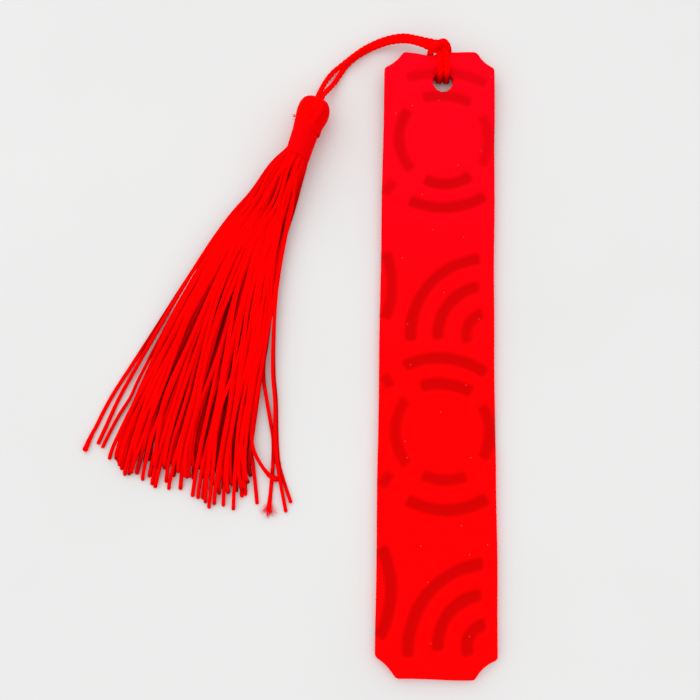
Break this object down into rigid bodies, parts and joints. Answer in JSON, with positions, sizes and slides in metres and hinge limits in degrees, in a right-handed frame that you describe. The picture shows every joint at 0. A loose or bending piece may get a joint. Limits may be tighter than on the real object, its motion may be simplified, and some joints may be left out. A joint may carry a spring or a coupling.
{
  "type": "bookmark",
  "caption": "Long thin bookmark plate with scooped corners and pressed arc grooves, a cord hitched through its hole and a bound tassel that swings and fans out.",
  "frame": {"origin": "middle of the plate's length and width, on its flat back face", "axes": "+X across the plate, +Y along the plate towards the hole, +Z out of the grooved front face"},
  "size_m": [0.0902, 0.1445, 0.0077],
  "materials": {
    "plate_clay": "red polymer clay, satin, pressed and hand cut",
    "cord": "red twisted viscose cord, soft sheen",
    "tassel_yarn": "red silky yarn, soft sheen",
    "binding_thread": "red silky thread, wound"
  },
  "bodies": {
    "plate": {"plate": "plate_clay", "cord_hitch": "cord"},
    "cord_root": {"cord_root_inner": "cord", "cord_root_outer": "cord"},
    "cord": {"cord_leg_inner": "cord", "cord_leg_outer": "cord"},
    "tassel_head": {"skein_fold": "tassel_yarn", "cord_ends": "cord", "cord_knot": "cord", "neck_core": "tassel_yarn", "neck_binding": "binding_thread", "fringe_root": "tassel_yarn", "fringe_centre": "tassel_yarn"},
    "lock_far_left": {"fringe_far_left": "tassel_yarn"},
    "lock_left_outer": {"fringe_left_outer": "tassel_yarn"},
    "lock_left_middle": {"fringe_left_middle": "tassel_yarn"},
    "lock_left_inner": {"fringe_left_inner": "tassel_yarn"},
    "lock_right_inner": {"fringe_right_inner": "tassel_yarn"},
    "lock_right_middle": {"fringe_right_middle": "tassel_yarn"},
    "lock_right_outer": {"fringe_right_outer": "tassel_yarn"},
    "lock_far_right": {"fringe_far_right": "tassel_yarn"}
  },
  "joints": [
    {"name": "cord_swing", "type": "hinge", "parent": "plate", "child": "cord_root", "pos_m": [0.0012, 0.0729, 0.00482], "axis": [0, 0, 1], "range_deg": [-180, 1.5]},
    {"name": "cord_lift", "type": "hinge", "parent": "cord_root", "child": "cord", "pos_m": [-0.0046, 0.0723, 0.00432], "axis": [0, 1, 0], "range_deg": [0, 90]},
    {"name": "tassel_swing", "type": "hinge", "parent": "cord", "child": "tassel_head", "pos_m": [-0.02784, 0.05817, 0.00402], "axis": [0, 0, 1], "range_deg": [-70, 2]},
    {"name": "spread_far_left", "type": "hinge", "parent": "tassel_head", "child": "lock_far_left", "pos_m": [-0.03273, 0.04357, 0.00402], "axis": [0, 0, -1], "range_deg": [0, 7]},
    {"name": "spread_left_outer", "type": "hinge", "parent": "tassel_head", "child": "lock_left_outer", "pos_m": [-0.03273, 0.04357, 0.00402], "axis": [0, 0, -1], "range_deg": [0, 5.25]},
    {"name": "spread_left_middle", "type": "hinge", "parent": "tassel_head", "child": "lock_left_middle", "pos_m": [-0.03273, 0.04357, 0.00402], "axis": [0, 0, -1], "range_deg": [0, 3.5]},
    {"name": "spread_left_inner", "type": "hinge", "parent": "tassel_head", "child": "lock_left_inner", "pos_m": [-0.03273, 0.04357, 0.00402], "axis": [0, 0, -1], "range_deg": [0, 1.75]},
    {"name": "spread_right_inner", "type": "hinge", "parent": "tassel_head", "child": "lock_right_inner", "pos_m": [-0.03273, 0.04357, 0.00402], "axis": [0, 0, -1], "range_deg": [-1.75, 0]},
    {"name": "spread_right_middle", "type": "hinge", "parent": "tassel_head", "child": "lock_right_middle", "pos_m": [-0.03273, 0.04357, 0.00402], "axis": [0, 0, -1], "range_deg": [-3.5, 0]},
    {"name": "spread_right_outer", "type": "hinge", "parent": "tassel_head", "child": "lock_right_outer", "pos_m": [-0.03273, 0.04357, 0.00402], "axis": [0, 0, -1], "range_deg": [-5.25, 0]},
    {"name": "spread_far_right", "type": "hinge", "parent": "tassel_head", "child": "lock_far_right", "pos_m": [-0.03273, 0.04357, 0.00402], "axis": [0, 0, -1], "range_deg": [-7, 0]}
  ],
  "couplings": [
    {"joint": "spread_left_outer", "follows": "spread_far_left", "ratio": 0.75},
    {"joint": "spread_left_middle", "follows": "spread_far_left", "ratio": 0.5},
    {"joint": "spread_left_inner", "follows": "spread_far_left", "ratio": 0.25},
    {"joint": "spread_right_inner", "follows": "spread_far_left", "ratio": -0.25},
    {"joint": "spread_right_middle", "follows": "spread_far_left", "ratio": -0.5},
    {"joint": "spread_right_outer", "follows": "spread_far_left", "ratio": -0.75},
    {"joint": "spread_far_right", "follows": "spread_far_left", "ratio": -1}
  ]
}
